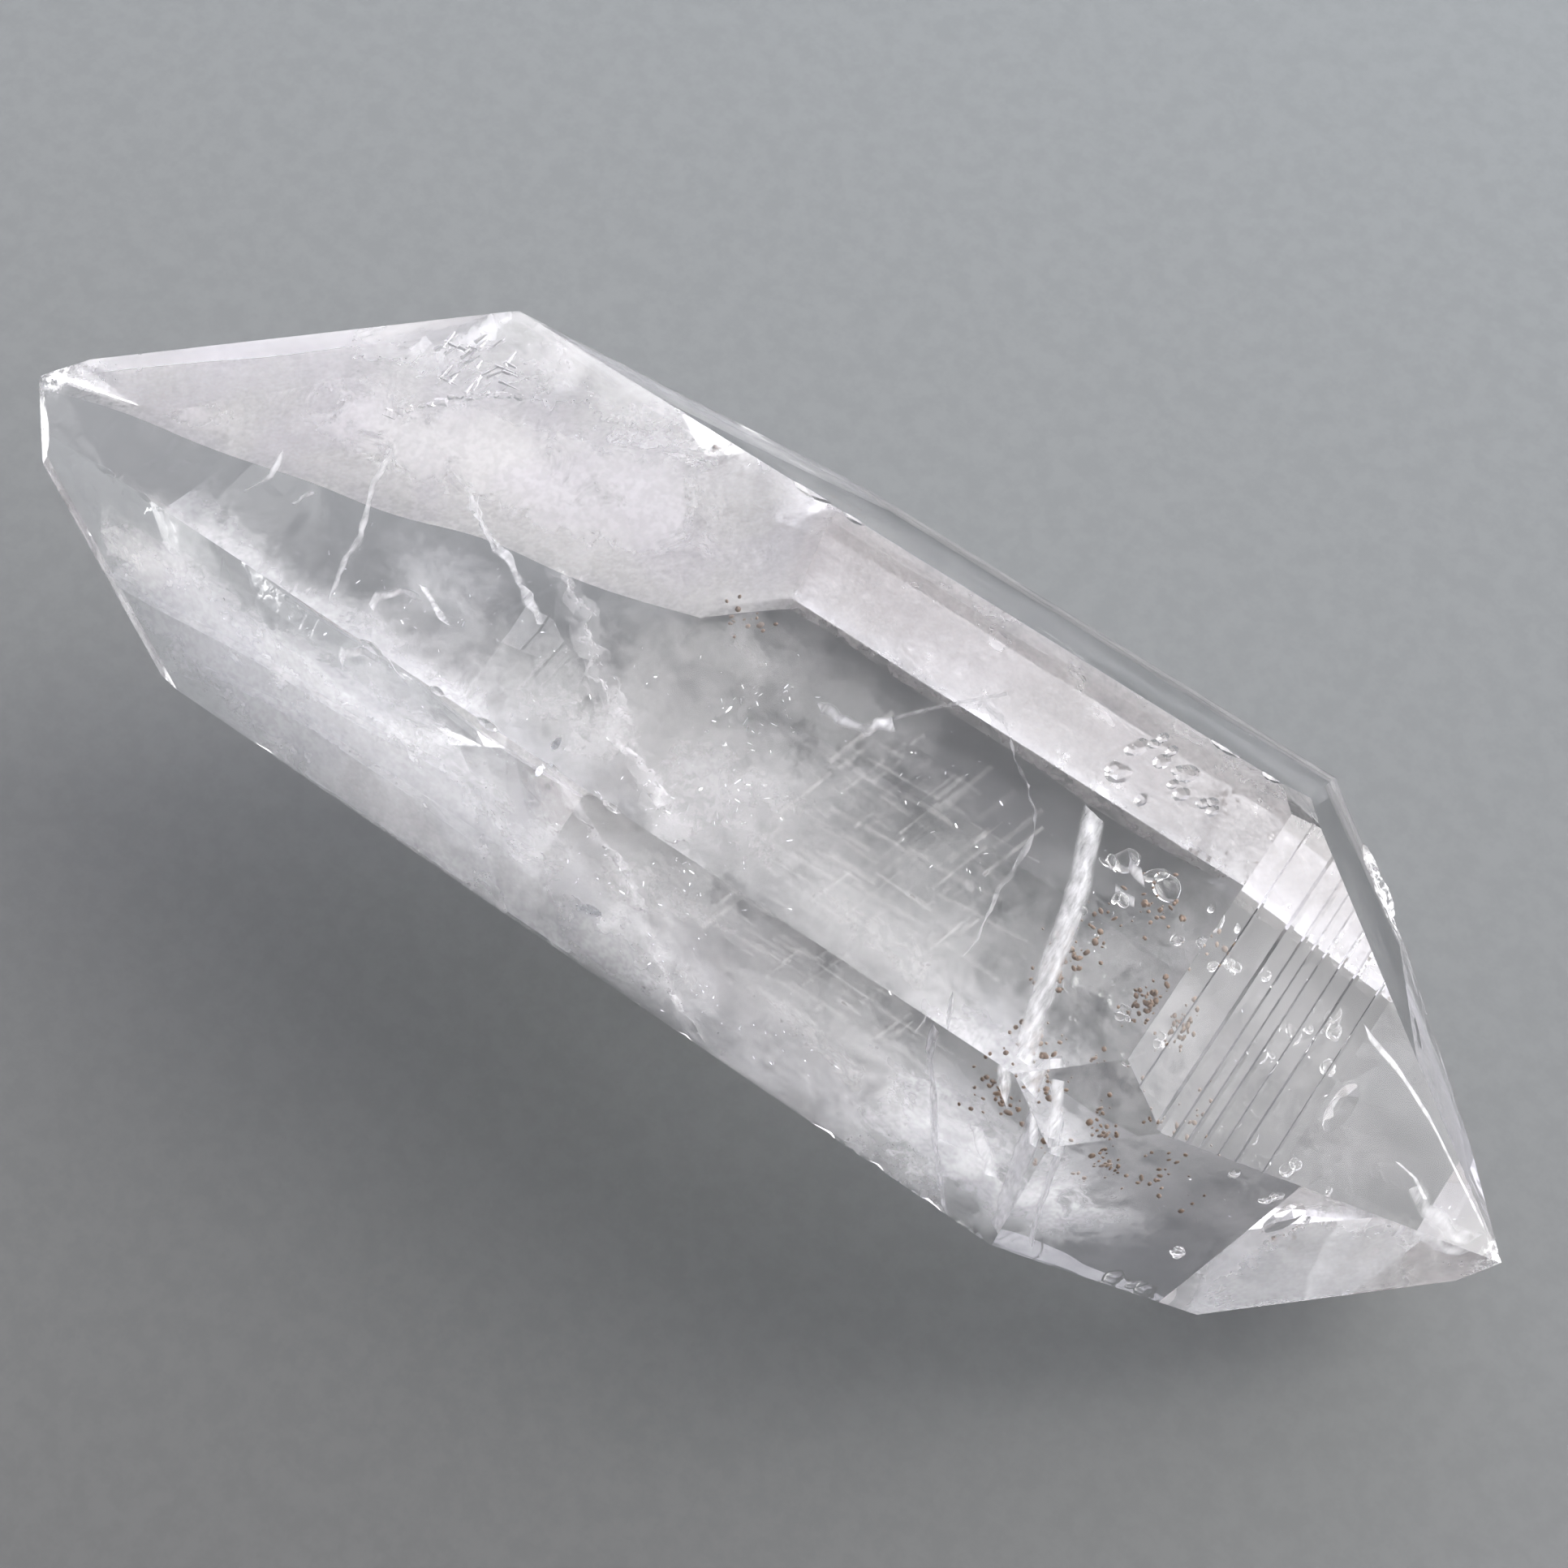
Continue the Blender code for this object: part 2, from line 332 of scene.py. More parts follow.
def paper():
    """Plain grey paper with painted light: a painted falloff makes it warmer and darker at one end, and a
    painted shadow darkens it in front of the crystal.
    """
    material, nodes, links, shader = new_material("pale grey paper")
    place = object_place(nodes, links)
    mottle = noise_at(nodes, links, place, 620.0, detail=3.0, roughness=0.7)
    colour = blend_colours(nodes, links, span(nodes, links, mottle, 0.35, 0.65), *PAPER_TONES)
    # Painted light falloff: along this slope the paper's colour is painted darker and warmer at one end and
    # lighter and cooler at the other.
    across = vector_math(nodes, links, "DOT_PRODUCT", place, PAINTED_FALLOFF_SLOPE).outputs["Value"]
    falloff_run = span(nodes, links, across, -PAINTED_FALLOFF_HALF, PAINTED_FALLOFF_HALF, smooth=False)
    tint = blend_colours(nodes, links, falloff_run, *PAINTED_LIGHT_TINTS)
    light_tinted = vector_math(nodes, links, "MULTIPLY", colour, tint)
    tone = span(nodes, links, across, -PAINTED_FALLOFF_HALF, PAINTED_FALLOFF_HALF, PAINTED_FALLOFF_DARK, PAINTED_FALLOFF_BRIGHT, smooth=False)
    # Painted shadow: a soft darker patch painted on the paper in front of the crystal, in place of a cast
    # shadow.
    shade = object_place(nodes, links, centre=(-0.1, 1.4, 0.0), stretch=(18.0, 20.0, 1.0))
    reach = vector_math(nodes, links, "LENGTH", shade)
    painted_shadow = span(nodes, links, reach.outputs["Value"], 0.0, 1.3, 0.84, 1.0)
    painted_light_and_shade = vector_math(nodes, links, "SCALE", light_tinted.outputs["Vector"])
    links.new(sums(nodes, links, "MULTIPLY", tone, painted_shadow), painted_light_and_shade.inputs["Scale"])
    links.new(painted_light_and_shade.outputs["Vector"], shader.inputs["Base Color"])
    shader.inputs["Roughness"].default_value = 0.8
    shader.inputs["Specular IOR Level"].default_value = 0.2
    return material


# ---------------------------------------------------------------- pieces


def settle_order(bm):
    """Numbers the mesh by position, because extruding leaves it in no fixed order."""
    for place, vert in enumerate(sorted(bm.verts, key=lambda vert: vert.co[:])):
        vert.index = place
    bm.verts.sort()
    for place, face in enumerate(sorted(bm.faces, key=lambda face: sorted(v.index for v in face.verts))):
        face.index = place
    bm.faces.sort()


def place_piece(name, bm, material, smooth=True):
    settle_order(bm)
    mesh = bpy.data.meshes.new(name)
    bm.to_mesh(mesh)
    bm.free()
    if smooth:
        mesh.shade_smooth()
    mesh.materials.append(material)
    obj = bpy.data.objects.new(name, mesh)
    bpy.context.scene.collection.objects.link(obj)
    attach(obj, "root")


def cut_away(bm, point, normal):
    """Removes what lies beyond the plane through point, on the side that normal points to."""
    geometry = bm.verts[:] + bm.edges[:] + bm.faces[:]
    bmesh.ops.bisect_plane(
        bm, geom=geometry, plane_co=point, plane_no=normal, clear_outer=True, dist=1e-7
    )


def trim(bm, skin):
    """Keeps only what lies inside the crystal, at least skin millimetres below its faces."""
    for name in FACES:
        cut_away(bm, below_face(name, skin) * MM, face_normal(name))


def billow(bm, height, seed):
    """Pushes each vertex along its normal by a smooth random height, in millimetres."""
    bm.normal_update()
    shift = Vector((seed, -seed, seed))
    moves = [
        (vert, vert.normal * noise.noise(vert.co / (WAVE_LENGTH * MM) + shift)) for vert in bm.verts
    ]
    for vert, move in moves:
        vert.co += move * height * MM


def paint_milkiness(bm, clouds):
    """Each cloud is its middle (X, Y, Z), its radii along them, and how thick it is."""
    layer = bm.verts.layers.float.new("milkiness")
    for vert in bm.verts:
        clear = 1.0
        for middle, radii, strength in clouds:
            away = [(vert.co[i] / MM - middle[i]) / radii[i] for i in range(3)]
            clear *= 1.0 - strength * math.exp(-sum(a * a for a in away))
        vert[layer] = 1.0 - clear


def haze_sheet(name, middle, normal, clouds, material, wave, seed, stop=None):
    """One billowing sheet of haze through middle, square to normal, cut to the crystal."""
    bm = bmesh.new()
    count = int(SHEET_WIDTH / SHEET_CELL)
    turn = Vector(normal).to_track_quat("Z", "Y").to_matrix().to_4x4()
    bmesh.ops.create_grid(
        bm,
        x_segments=count,
        y_segments=count,
        size=SHEET_WIDTH / 2 * MM,
        matrix=Matrix.Translation(Vector(middle) * MM) @ turn,
    )
    trim(bm, -wave)
    billow(bm, wave, seed)
    trim(bm, CLEAR_SKIN)
    if stop is not None:
        cut_away(bm, mm(*stop[0]), stop[1])
    paint_milkiness(bm, clouds)
    layer = bm.verts.layers.float["milkiness"]
    faint = [face for face in bm.faces if max(v[layer] for v in face.verts) < FAINTEST]
    bmesh.ops.delete(bm, geom=faint, context="FACES")
    place_piece(name, bm, material)


# Clouds of haze, in millimetres: middle, radii along X, Y and Z, and how thick it is.
FRONT_CLOUDS = (
    ((-37.5, -10.2, 19.0), (5.0, 3.0, 5.0), 1.0),
    ((-33.0, -11.5, 19.5), (5.0, 2.2, 5.0), 0.85),
    ((-28.0, -12.6, 19.0), (6.0, 2.8, 6.0), 1.0),
    ((-21.0, -12.2, 18.0), (6.0, 3.4, 6.0), 0.9),
    ((-21.5, -4.2, 15.0), (4.0, 2.4, 5.0), 0.45),
    ((-14.0, -11.2, 17.0), (6.0, 4.0, 6.0), 0.58),
    ((-7.0, -11.5, 15.0), (6.0, 4.0, 6.0), 0.3),
    ((0.0, -11.5, 14.0), (6.0, 3.5, 5.0), 0.27),
    ((8.0, -12.5, 13.0), (7.0, 3.0, 5.0), 0.3),
    ((16.6, -9.6, 13.8), (4.6, 3.4, 5.0), 0.85),
    ((21.5, -9.0, 11.0), (4.0, 3.0, 5.0), 0.6),
)
TOP_CLOUDS = (
    ((-38.0, -5.0, 22.0), (4.0, 1.7, 3.0), 0.6),
    ((-28.5, -0.5, 23.0), (6.0, 2.4, 3.0), 0.65),
    ((-20.0, 1.8, 23.5), (6.0, 2.4, 3.0), 0.85),
    ((-13.5, 4.0, 24.0), (5.0, 2.4, 3.0), 0.75),
    ((-34.6, -11.7, 21.0), (4.4, 1.6, 3.0), 0.9),
)
FRONT_SKIN_CLOUDS = (
    ((-31.0, -14.0, 20.0), (10, 4, 7), 0.7),
    ((-17.0, -14.0, 18.0), (10, 4, 6), 0.8),
    ((-4.0, -14.5, 17.0), (8, 4, 5), 0.5),
    ((12.0, -15.5, 16.0), (12, 3, 4), 0.35),
)
FRONT_STOP = ((0.0, -11.2, 26.1), (0.0, 0.98, 0.18))
WEST_CLOUDS = (
    ((-38.0, -5.0, 21.0), (6, 5, 6), 1.0),
    ((-33.0, -1.0, 20.0), (8, 6, 6), 1.0),
    ((-31.0, -2.5, 15.5), (6, 4, 5), 1.0),
    ((-25.0, 0.0, 10.5), (6, 4, 5), 1.0),
    ((-24.0, 3.0, 14.0), (8, 7, 8), 1.0),
    ((-18.5, 3.5, 5.5), (6, 4, 5), 1.0),
    ((-14.0, 8.0, 8.0), (9, 7, 7), 1.0),
    ((-12.0, 6.5, 2.0), (6, 4, 4), 0.9),
)
BACK_CLOUDS = (
    ((-14.0, 8.0, 8.0), (9, 7, 7), 1.0),
    ((-4.0, 11.0, 5.0), (8, 7, 6), 0.75),
    ((6.0, 12.0, 5.0), (8, 7, 6), 0.62),
    ((15.0, 12.0, 4.0), (7, 7, 6), 0.65),
    ((23.0, 11.0, 5.0), (5, 6, 5), 0.75),
)
CORE_CLOUDS = (
    ((-21.0, -7.5, 11.0), (6, 3.0, 6), 0.5),
    ((-14.0, -6.0, 9.0), (7, 4.0, 6), 0.5),
    ((-7.0, -4.0, 7.0), (8, 5.0, 7), 0.7),
    ((-7.0, 3.5, 7.0), (7, 4.0, 7), 0.6),
    ((1.0, -4.5, 7.0), (7, 4.5, 7), 0.6),
    ((3.5, 2.0, 8.0), (6, 4.0, 7), 0.25),
    ((8.0, -7.5, 8.0), (6, 4.0, 7), 0.5),
    ((13.0, -7.0, 10.0), (5, 4.0, 6), 0.6),
    ((10.0, 0.0, 9.0), (7, 5.0, 8), 0.22),
    ((20.0, -2.0, 10.0), (6, 5.0, 9), 0.4),
    ((24.0, 4.0, 9.0), (6, 5.0, 8), 0.5),
    ((31.0, -1.0, 8.0), (6, 6.0, 6), 0.5),
)
EAST_FRONT_CLOUDS = (((36.0, -6.5, 10.0), (7, 5, 6), 0.9),)
EDGE_CLOUDS = (
    ((-18.0, 11.5, 22.0), (9, 5, 6), 0.8),
    ((-4.0, 12.0, 20.0), (9, 5, 6), 0.7),
    ((9.0, 12.0, 20.0), (9, 5, 6), 0.75),
    ((20.0, 12.0, 19.0), (7, 5, 7), 0.8),
)


def haze():
    """All milky sheets, each limited to its own list of clouds."""
    cool = milk("milky haze, cool", (0.99, 0.99, 1.0), (0.96, 0.96, 0.99), 0.82, seed=0.3)
    lilac = milk("milky haze, lilac", (1.0, 0.99, 0.98), (0.97, 0.95, 0.975), 1.0, thin=0.95, seed=1.1)
    beige = milk("milky haze, beige", (0.97, 0.93, 0.91), (0.89, 0.84, 0.83), 0.92, thin=0.8, seed=1.7)
    core = milk("milky haze, core", (0.98, 0.97, 0.965), (0.93, 0.91, 0.91), 0.44, cloud=330.0, seed=2.3)
    edge = milk(
        "milky haze, streaked", (0.97, 0.97, 1.0), (0.9, 0.91, 0.93), 0.35, cloud=520.0, seed=3.1,
        stretch=(0.16, 1, 1),
    )
    haze_sheet(
        "haze_front_skin",
        below_face("front", 0.9),
        face_normal("front"),
        FRONT_SKIN_CLOUDS,
        cool,
        wave=0.5,
        seed=3,
        stop=FRONT_STOP,
    )
    for number, height in enumerate((21.3, 18.6, 15.8, 12.8)):
        normal = (0.05 * number - 0.1, 0.18 - 0.05 * number, 1.0)
        middle = (-12, -10, height)
        haze_sheet(f"haze_front_{number}", middle, normal, FRONT_CLOUDS, cool, wave=0.9, seed=number + 31)
    haze_sheet("haze_west_top", (-20, 1.5, 23.5), (0.0, -0.2, 1.0), TOP_CLOUDS, lilac, wave=0.6, seed=41)
    for number, (side, depth, clouds, material) in enumerate(
        (
            ("west_back_under", 0.75, WEST_CLOUDS, lilac),
            ("back_under", 0.75, BACK_CLOUDS, beige),
            ("back", 0.7, EDGE_CLOUDS, edge),
            ("east_front", 0.6, EAST_FRONT_CLOUDS, cool),
        )
    ):
        name = f"haze_{side}_{number}"
        haze_sheet(
            name, below_face(side, depth), face_normal(side), clouds, material, wave=0.35, seed=number + 11
        )
    for number, height in enumerate((4.0, 8.5, 13.0)):
        normal = (0.12 - 0.06 * number, 0.2 - 0.12 * number, 1.0)
        middle = (-5, -4, height)
        haze_sheet(f"haze_core_{number}", middle, normal, CORE_CLOUDS, core, wave=1.4, seed=number + 21)


def crack(bm, path, spread, cuts=3, jitter=0.12, seed=1, thick=1.0, rows=6):
    """A thin torn sheet: a line through path, drawn out along spread, all in millimetres."""
    layer = bm.verts.layers.float.get("milkiness") or bm.verts.layers.float.new("milkiness")
    last = bmesh.ops.create_vert(bm, co=mm(*path[0]))["vert"][0]
    edges = []
    for point in path[1:]:
        new = bmesh.ops.extrude_vert_indiv(bm, verts=[last])
        last = new["verts"][0]
        last.co = mm(*point)
        edges += new["edges"]
    cut = bmesh.ops.subdivide_edges(bm, edges=edges, cuts=cuts)
    split = [item for item in cut["geom_split"] if isinstance(item, bmesh.types.BMEdge)]
    edges = list(dict.fromkeys(split))
    verts = list(dict.fromkeys(vert for edge in edges for vert in edge.verts))
    sheet = [(vert, 0.0) for vert in verts]
    for row in range(1, rows + 1):
        new = bmesh.ops.extrude_edge_only(bm, edges=edges)["geom"]
        verts = [item for item in new if isinstance(item, bmesh.types.BMVert)]
        fresh = set(verts)
        edges = [
            item
            for item in new
            if isinstance(item, bmesh.types.BMEdge) and item.verts[0] in fresh and item.verts[1] in fresh
        ]
        bmesh.ops.translate(bm, verts=verts, vec=mm(*spread) / rows)
        sheet += [(vert, row / rows) for vert in verts]
    for vert, across in sheet:
        ragged = 0.75 + 0.5 * noise.noise(vert.co / (0.6 * MM) + Vector((seed, 0, 0)))
        vert[layer] = max(0.0, min(1.0, thick * ragged * math.sin(math.pi * across) ** 0.6))
        wobble = noise.noise_vector(vert.co / (0.9 * MM) + Vector((seed, seed, seed)))
        vert.co += wobble * jitter * MM


def fractures():
    """White bands, fine curved cracks and the bright streaks at the east point."""
    material = white_fracture()
    bm = bmesh.new()
    crack(bm, ((13.9, 3.2, 22.2), (15.2, -0.1, 22.2), (16.0, -2.6, 22.2), (16.9, -6.4, 22.2),
               (18.0, -9.6, 22.2)), (1.25, 0.45, -3.2), cuts=14, jitter=0.07, seed=2)
    crack(bm, ((19.6, -8.9, 22.2), (20.2, -9.8, 21.3), (20.9, -10.9, 20.2)),
          (0.5, 0.6, -0.8), cuts=8, jitter=0.07, seed=4)
    crack(bm, ((21.3, -10.0, 20.3), (21.6, -11.2, 17.8), (21.9, -12.3, 15.4), (22.4, -13.6, 12.5)),
          (-1.4, 1.6, -0.8), cuts=14, jitter=0.07, seed=5)
    crack(bm, ((14.6, -9.7, 23.1), (14.9, -10.6, 21.6), (15.9, -11.6, 20.0), (17.3, -13.2, 17.2),
               (19.2, -15.0, 14.1)), (-0.8, 1.2, -1.2), cuts=14, jitter=0.10, seed=7)
    crack(bm, ((17.8, -11.8, 19.5), (19.0, -12.5, 18.2), (19.7, -13.0, 17.5)),
          (0.9, 0.8, -0.6), cuts=8, jitter=0.1, seed=9, thick=0.8)
    place_piece("fracture_bands", bm, material)

    bm = bmesh.new()
    crack(bm, ((-26.2, -1.4, 25.0), (-25.8, -3.7, 25.0), (-24.6, -6.1, 25.0), (-24.1, -8.6, 25.0),
               (-23.5, -10.2, 25.0)), (0.2, 0.05, -0.9), cuts=9, jitter=0.2, seed=11, thick=0.75)
    crack(bm, ((-23.2, 0.3, 20.4), (-21.8, -1.0, 20.6), (-20.2, -1.7, 20.4), (-19.2, -2.1, 20.4),
               (-18.1, -2.5, 20.4), (-16.9, -3.1, 20.3), (-15.2, -4.1, 20.3)),
          (0.42, 0.5, -1.4), cuts=8, jitter=0.34, seed=12, thick=0.8)
    crack(bm, ((-22.3, 0.1, 20.0), (-21.2, -0.9, 19.8), (-19.6, -1.6, 19.6)),
          (0.9, -0.5, -0.6), cuts=6, jitter=0.35, seed=13)
    crack(bm, ((-23.2, -8.0, 18.4), (-23.3, -7.2, 18.5), (-22.6, -6.2, 18.4), (-21.6, -5.9, 18.4)),
          (0.4, -0.2, -0.7), cuts=6, jitter=0.2, seed=14)
    crack(bm, ((-21.8, -5.6, 18.4), (-20.6, -6.2, 18.4), (-19.4, -6.5, 18.4)),
          (0.35, 0.35, -0.7), cuts=6, jitter=0.25, seed=15)
    crack(bm, ((-0.8, 1.3, 17.4), (0.1, 1.5, 17.4), (1.8, 1.4, 17.4), (2.8, 2.8, 17.4)),
          (0.5, -0.6, -0.5), cuts=6, jitter=0.4, seed=16)
    crack(bm, ((2.8, 2.8, 17.4), (4.8, 5.1, 17.4), (6.9, 7.3, 17.4)), (0.16, -0.12, -0.4),
          cuts=6, jitter=0.05, seed=17, thick=0.6)
    crack(bm, ((4.6, 5.5, 16.4), (6.2, 6.3, 16.4), (7.5, 6.2, 16.4), (8.4, 5.5, 16.4), (9.0, 4.7, 16.4),
               (10.4, 4.0, 16.4), (11.5, 2.9, 16.4), (12.2, 1.6, 16.4), (12.4, 0.1, 16.3),
               (12.3, -1.4, 16.3), (12.6, -3.2, 16.3), (12.8, -5.4, 16.3)),
          (0.16, 0.1, -1.8), cuts=4, jitter=0.3, seed=18, thick=0.45)
    crack(bm, ((-31.2, -7.6, 24.6), (-30.6, -6.0, 24.4), (-31.0, -4.6, 24.3)),
          (0.16, 0.05, -0.6), cuts=6, jitter=0.3, seed=19)
    crack(bm, ((-28.6, -6.8, 24.6), (-28.2, -5.6, 24.4)), (0.14, 0.05, -0.6), cuts=6, jitter=0.2, seed=20)
    place_piece("fine_cracks", bm, material)

    bm = bmesh.new()
    crack(bm, ((31.1, 3.0, 18.9), (33.6, 2.85, 17.0), (36.3, 2.3, 14.8), (39.6, 1.1, 12.3),
               (41.5, 0.45, 10.75), (42.5, -0.1, 9.9)), (0.8, -0.5, -0.4), cuts=10, jitter=0.03, seed=22)
    crack(bm, ((36.0, -0.8, 14.1), (37.2, -0.7, 13.1), (38.2, -1.1, 12.3)), (0.3, 0.2, -0.3),
          cuts=8, jitter=0.03, seed=23)
    crack(bm, ((37.0, -1.3, 11.8), (38.3, -1.7, 10.6), (40.0, -1.5, 9.6), (41.5, -1.1, 9.2)),
          (0.5, 1.1, 0.1), cuts=8, jitter=0.25, seed=24, thick=0.8)
    crack(bm, ((16.7, 3.6, 17.6), (17.2, 3.2, 17.6), (17.9, 3.1, 17.5)), (0.6, -0.9, -0.3), cuts=5,
          jitter=0.2, seed=25)
    crack(bm, ((17.2, 1.6, 17.4), (17.9, 1.5, 17.4), (18.4, 1.6, 17.4)), (0.3, -0.5, -0.2), cuts=5,
          jitter=0.2, seed=26)
    place_piece("east_tip_streaks", bm, material)


def veil():
    """The healed break that runs slanting through the middle, dusted with tiny inclusions."""
    bm = bmesh.new()
    crack(bm, ((-17.6, -0.4, 17.6), (-14.4, -2.8, 17.6), (-11.6, -4.8, 17.5), (-8.6, -6.8, 17.8),
               (-6.0, -8.0, 17.8), (-4.5, -8.9, 16.8), (-2.2, -10.4, 14.2), (0.8, -11.7, 12.0)),
          (2.6, 0.8, -4.5), cuts=11, jitter=0.8, seed=31, thick=0.75, rows=12)
    trim(bm, CLEAR_SKIN)
    material = milk(
        "healed veil", (1.0, 0.99, 1.0), (0.97, 0.95, 0.97), 0.58, cloud=800.0, grain=3200.0,
        contrast=0.2, seed=4.0,
    )
    place_piece("healed_veil", bm, material)


def loose_turn(rng):
    turn = Matrix.Rotation(rng.uniform(0, 6.28), 4, "Z") @ Matrix.Rotation(rng.uniform(0, 3.14), 4, "X")
    return turn @ Matrix.Rotation(rng.uniform(0, 6.28), 4, "Z")


def scatter_flakes(bm, rng, middle, radii, count, sizes):
    for _ in range(count):
        place = [rng.gauss(m, r * 0.5) for m, r in zip(middle, radii)]
        size = sizes[0] + (sizes[1] - sizes[0]) * rng.random() ** 2.5
        shape = Matrix.Diagonal((1.5, rng.uniform(0.08, 0.35), 1.0, 1.0))
        bmesh.ops.create_circle(
            bm,
            cap_ends=True,
            segments=rng.choice((5, 6, 7)),
            radius=size * MM,
            matrix=Matrix.Translation(mm(*place)) @ loose_turn(rng) @ shape,
        )


def sparkles():
    """Tiny mirror flakes in clusters, and two broader glints."""
    rng = random.Random(5)
    bm = bmesh.new()
    for middle, radii, count, sizes in (
        ((-3.3, -1.0, 16.4), (2.4, 3.0, 2.0), 70, (0.05, 0.20)),
        ((-0.6, -5.4, 15.5), (2.6, 2.4, 2.0), 50, (0.05, 0.18)),
        ((-12.0, -4.0, 15.0), (6.0, 4.0, 4.0), 70, (0.03, 0.10)),
        ((-5.0, -9.0, 15.0), (5.0, 3.0, 4.0), 90, (0.03, 0.12)),
        ((2.0, -11.5, 14.0), (5.0, 2.5, 3.5), 80, (0.03, 0.12)),
        ((9.0, -11.5, 14.0), (5.0, 2.5, 3.5), 50, (0.03, 0.12)),
        ((-22.0, -7.5, 19.0), (7.0, 3.5, 3.0), 70, (0.03, 0.12)),
        ((-24.0, -13.0, 17.0), (8.0, 1.4, 3.0), 60, (0.03, 0.10)),
        ((6.0, 0.5, 15.0), (5.0, 4.0, 3.5), 60, (0.03, 0.12)),
        ((28.0, 1.0, 15.5), (4.5, 3.5, 3.0), 40, (0.03, 0.09)),
        ((30.0, -4.5, 12.5), (4.5, 2.5, 3.0), 24, (0.03, 0.09)),
        ((18.0, 0.0, 17.0), (3.5, 4.0, 3.0), 40, (0.03, 0.10)),
        ((40.0, 0.0, 9.5), (1.6, 1.2, 1.5), 24, (0.03, 0.10)),
    ):
        scatter_flakes(bm, rng, middle, radii, count, sizes)
    trim(bm, 0.2)
    place_piece("sparkling_flakes", bm, glint(), smooth=False)

    bm = bmesh.new()
    bmesh.ops.create_circle(bm, cap_ends=True, segments=14, radius=0.62 * MM,
                            matrix=Matrix.Translation(mm(-4.35, -13.7, 18.4))
                            @ Matrix.Rotation(math.radians(38), 4, "X")
                            @ Matrix.Rotation(math.radians(20), 4, "Z") @ Matrix.Diagonal((1.25, 0.55, 1, 1)))
    bmesh.ops.create_circle(bm, cap_ends=True, segments=9, radius=0.34 * MM,
                            matrix=Matrix.Translation(mm(-9.7, -9.3, 22.2))
                            @ Matrix.Rotation(math.radians(12), 4, "X") @ Matrix.Diagonal((0.55, 1.2, 1, 1)))
    place_piece("broad_glints", bm, glint(), smooth=False)


def bubbles():
    """Clusters of flattened fluid bubbles in the east half."""
    rng = random.Random(8)
    bm = bmesh.new()
    places = [
        ((17.3, 3.4, 17.3), 2.4), ((18.7, 3.3, 17.2), 1.7), ((17.9, 1.3, 17.3), 0.8),
        ((21.2, 1.1, 17.3), 0.7), ((21.3, -3.8, 17.3), 0.6), ((22.3, 2.7, 19.6), 1.0),
        ((22.7, 0.8, 19.2), 0.9), ((24.1, 1.9, 17.6), 0.8), ((27.2, 1.3, 15.8), 0.9),
        ((28.4, 2.9, 14.9), 1.0), ((26.6, -0.9, 16.3), 0.7), ((29.4, 0.8, 14.4), 0.8),
        ((28.5, -8.5, 9.7), 0.75), ((32.8, -3.6, 11.5), 0.45), ((28.6, -4.6, 15.1), 0.7),
        ((30.6, -4.2, 13.1), 0.8), ((16.2, 2.4, 17.5), 0.6), ((16.6, -0.6, 16.8), 0.5),
    ]
    for middle, size in places:
        for _ in range(rng.choice((1, 2, 3))):
            spot = Vector([m + rng.uniform(-0.5, 0.5) * size for m in middle])
            shape = Matrix.Diagonal((rng.uniform(0.4, 0.8), rng.uniform(0.3, 0.6), rng.uniform(0.16, 0.3), 1))
            bmesh.ops.create_icosphere(
                bm,
                subdivisions=3,
                radius=size * rng.uniform(0.6, 1.0) * MM,
                matrix=Matrix.Translation(spot * MM) @ Matrix.Rotation(rng.uniform(0, 3), 4, "Z")
                @ Matrix.Rotation(rng.uniform(-0.6, 0.6), 4, "X") @ shape,
            )
    for vert in bm.verts:
        vert.co += noise.noise_vector(vert.co / (0.5 * MM)) * 0.09 * MM
    place_piece("fluid_bubbles", bm, fluid_bubble())


def specks():
    """Clusters of brown grains, most of them beside the white bands."""
    rng = random.Random(12)
    bm = bmesh.new()
    for middle, radii, count in (
        ((17.3, -2.4, 16.3), (1.6, 2.6, 1.5), 70),
        ((21.8, -3.0, 17.8), (0.9, 1.4, 1.2), 40),
        ((21.7, -7.4, 15.6), (1.4, 1.4, 1.2), 36),
        ((18.3, -7.7, 17.8), (1.5, 1.6, 1.2), 40),
        ((19.5, 1.8, 17.0), (1.8, 1.8, 1.2), 30),
        ((25.0, -6.0, 14.5), (2.5, 2.0, 1.5), 26),
        ((-8.0, 5.0, 8.0), (2.5, 1.5, 1.5), 16),
    ):
        for _ in range(count):
            place = [rng.gauss(m, r * 0.5) for m, r in zip(middle, radii)]
            shape = Matrix.Diagonal((rng.uniform(0.5, 1.4), rng.uniform(0.5, 1.0), rng.uniform(0.4, 1.0), 1))
            bmesh.ops.create_icosphere(bm, subdivisions=1, radius=rng.uniform(0.05, 0.23) * MM,
                                       matrix=Matrix.Translation(mm(*place)) @ loose_turn(rng) @ shape)
    place_piece("brown_specks", bm, brown_speck())


def growth_streaks():
    """Faint needles of haze that lie along two growth directions in the east half."""
    rng = random.Random(21)
    bm = bmesh.new()
    for _ in range(130):
        x, y = rng.uniform(-1.0, 12.0), rng.uniform(-8.0, 3.0)
        start = Vector((x, y, rng.uniform(10.0, 15.5)))
        along = Vector((1.0, rng.uniform(-0.08, 0.08), 0)) if rng.random() < 0.6 else Vector((0.28, 1.0, 0))
        end = start + along.normalized() * rng.uniform(1.0, 4.5)
        across = along.normalized().cross(Vector((0, 0, 1))) * rng.uniform(0.15, 0.5)
        crack(bm, (start, start.lerp(end, 0.5), end), across + Vector((0, 0, -0.1)), cuts=3, jitter=0.05,
              seed=rng.uniform(0, 9), thick=rng.uniform(0.3, 0.9), rows=3)
    material = milk(
        "growth streak haze", (0.98, 0.96, 0.94), (0.92, 0.9, 0.86), 0.4, cloud=1300.0, contrast=0.3, seed=6.0
    )
    place_piece("growth_streaks", bm, material)


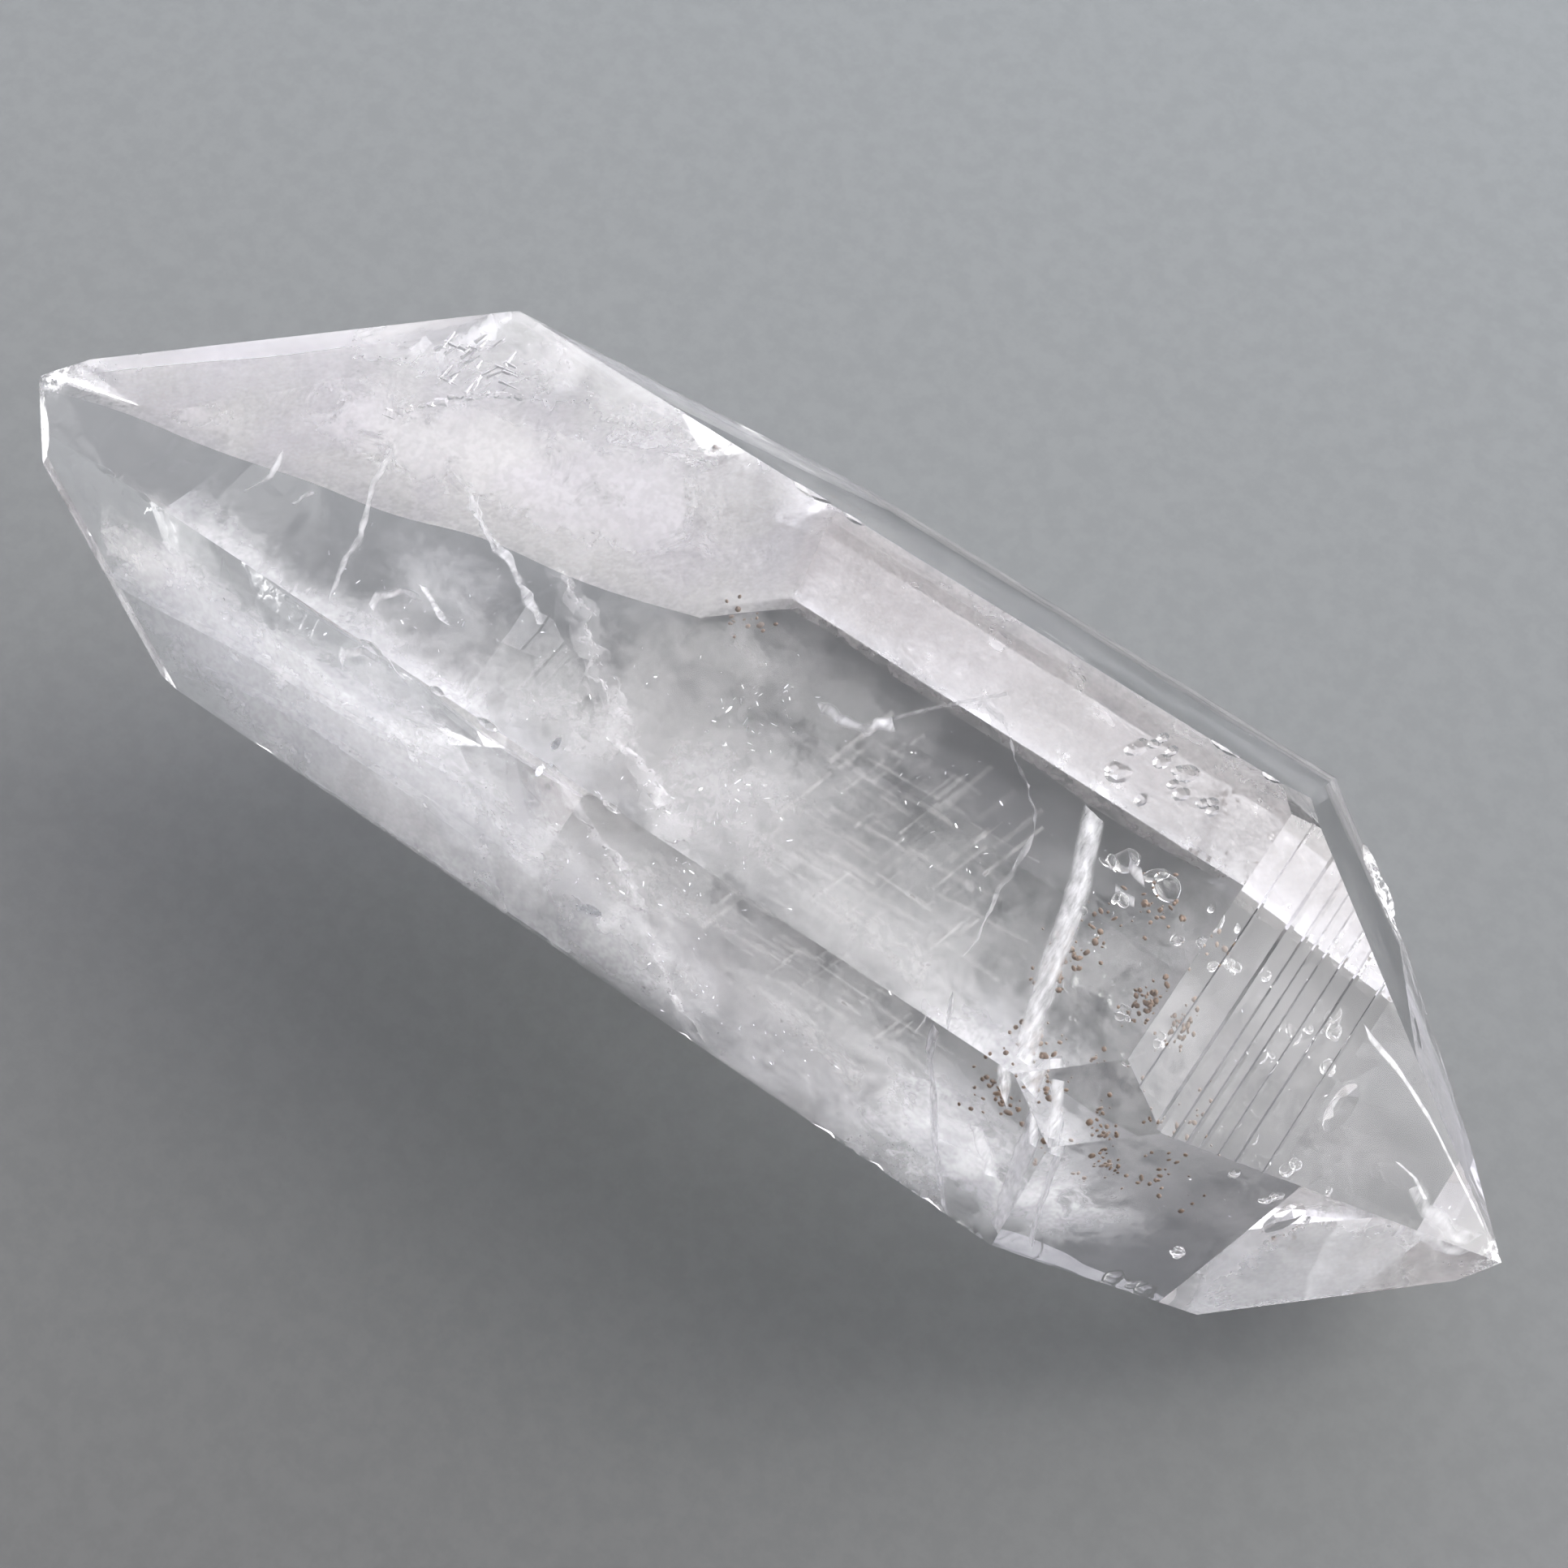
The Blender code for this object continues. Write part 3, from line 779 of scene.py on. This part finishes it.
def camera():
    """Looks down on the crystal from the south-east, west point to the upper left."""
    data = bpy.data.cameras.new("camera")
    data.sensor_width = CAMERA_SENSOR
    data.lens = CAMERA_LENS
    data.clip_start = 0.005
    data.clip_end = 20.0
    obj = bpy.data.objects.new("camera", data)
    obj.location = mm(*CAMERA_PLACE)
    obj.rotation_euler = [math.radians(a) for a in CAMERA_TURN]
    bpy.context.scene.collection.objects.link(obj)
    bpy.context.scene.camera = obj


def floor():
    bm = bmesh.new()
    bmesh.ops.create_grid(bm, x_segments=1, y_segments=1, size=FLOOR_HALF_WIDTH)
    bmesh.ops.translate(bm, verts=bm.verts, vec=(0, 0, -FLOOR_GAP))
    mesh = bpy.data.meshes.new("floor")
    bm.to_mesh(mesh)
    bm.free()
    mesh.materials.append(paper())
    obj = bpy.data.objects.new("floor", mesh)
    bpy.context.scene.collection.objects.link(obj)


# Soft daylight: elevation and azimuth in degrees from +X, how tight it is, and its colour.
DAYLIGHT = (
    (20, 45, 6.0, (7.2, 7.1, 7.1)),
    (20, 90, 6.0, (4.45, 4.4, 4.5)),
    (20, 135, 6.0, (2.6, 2.5, 2.9)),
    (45, 60, 40.0, (15.6, 15.2, 14.8)),
)
AMBIENT, BACKDROP = (0.22, 0.22, 0.225), (0.40, 0.42, 0.44)


def studio():
    """Windows low on the back side, a little light from everywhere, and a plain grey backdrop."""
    world = bpy.data.worlds.new("studio")
    world.use_nodes = True
    world.cycles.sampling_method = "NONE"
    bpy.context.scene.world = world
    nodes, links = world.node_tree.nodes, world.node_tree.links
    place = nodes.new("ShaderNodeTexCoord")
    total = None
    for elevation, azimuth, tightness, colour in DAYLIGHT:
        up, turn = math.radians(elevation), math.radians(azimuth)
        middle = (math.cos(up) * math.cos(turn), math.cos(up) * math.sin(turn), math.sin(up))
        towards = vector_math(nodes, links, "DOT_PRODUCT", place.outputs["Generated"], middle)
        away = sums(nodes, links, "SUBTRACT", towards.outputs["Value"], 1.0)
        glow = sums(nodes, links, "EXPONENT", sums(nodes, links, "MULTIPLY", away, tightness), 0.0)
        window = vector_math(nodes, links, "MULTIPLY_ADD", glow, colour)
        window.inputs[2].default_value = AMBIENT
        if total is not None:
            links.new(total, window.inputs[2])
        total = window.outputs["Vector"]
    rays = nodes.new("ShaderNodeLightPath")
    direct = nodes.new("ShaderNodeMix")
    direct.data_type = "RGBA"
    direct.inputs["B"].default_value = (*BACKDROP, 1)
    links.new(rays.outputs["Is Camera Ray"], direct.inputs["Factor"])
    links.new(total, direct.inputs["A"])
    links.new(direct.outputs["Result"], nodes["Background"].inputs["Color"])


def main():
    noise.seed_set(NOISE_SEED)
    camera()
    floor()
    studio()
    scene = bpy.context.scene
    scene.view_settings.view_transform = "Standard"
    for limit, count in BOUNCES.items():
        setattr(scene.cycles, limit, count)
    crystal = bpy.data.objects["quartz_crystal"]
    material = rock_crystal()
    for slot in crystal.material_slots:
        slot.material = material
    haze()
    fractures()
    veil()
    sparkles()
    bubbles()
    specks()
    growth_streaks()


main()
